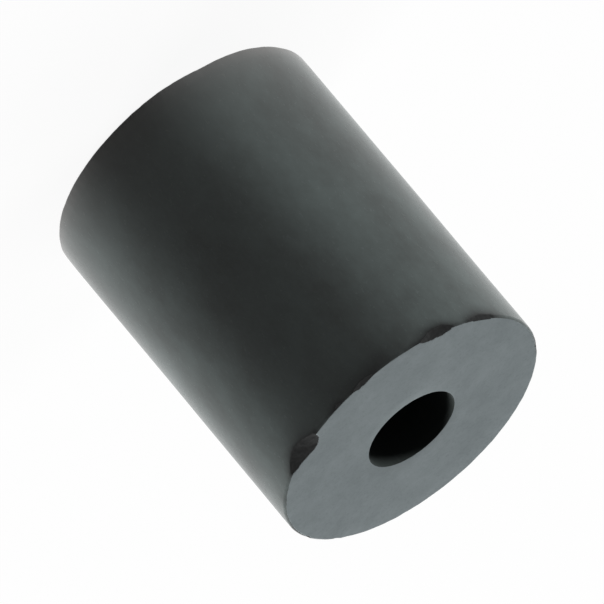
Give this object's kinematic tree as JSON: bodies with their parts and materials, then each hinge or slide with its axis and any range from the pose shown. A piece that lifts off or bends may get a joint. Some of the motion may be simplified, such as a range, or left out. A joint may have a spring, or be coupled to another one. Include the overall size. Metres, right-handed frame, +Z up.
{
  "type": "ferrite bead",
  "caption": "Dark ceramic tube with flat ground ends, a plain through bore and a lightly chipped rim, slipped over a wire to damp high-frequency noise.",
  "frame": {"origin": "centre of the lower end face, on the bore's axis", "axes": "+Z up along the bore, towards the chipped end; +X and +Y across the tube"},
  "size_m": [0.006, 0.006, 0.0076],
  "materials": {
    "ferrite": "satin"
  },
  "bodies": {
    "root": {"ferrite_bead": "ferrite"}
  },
  "joints": []
}
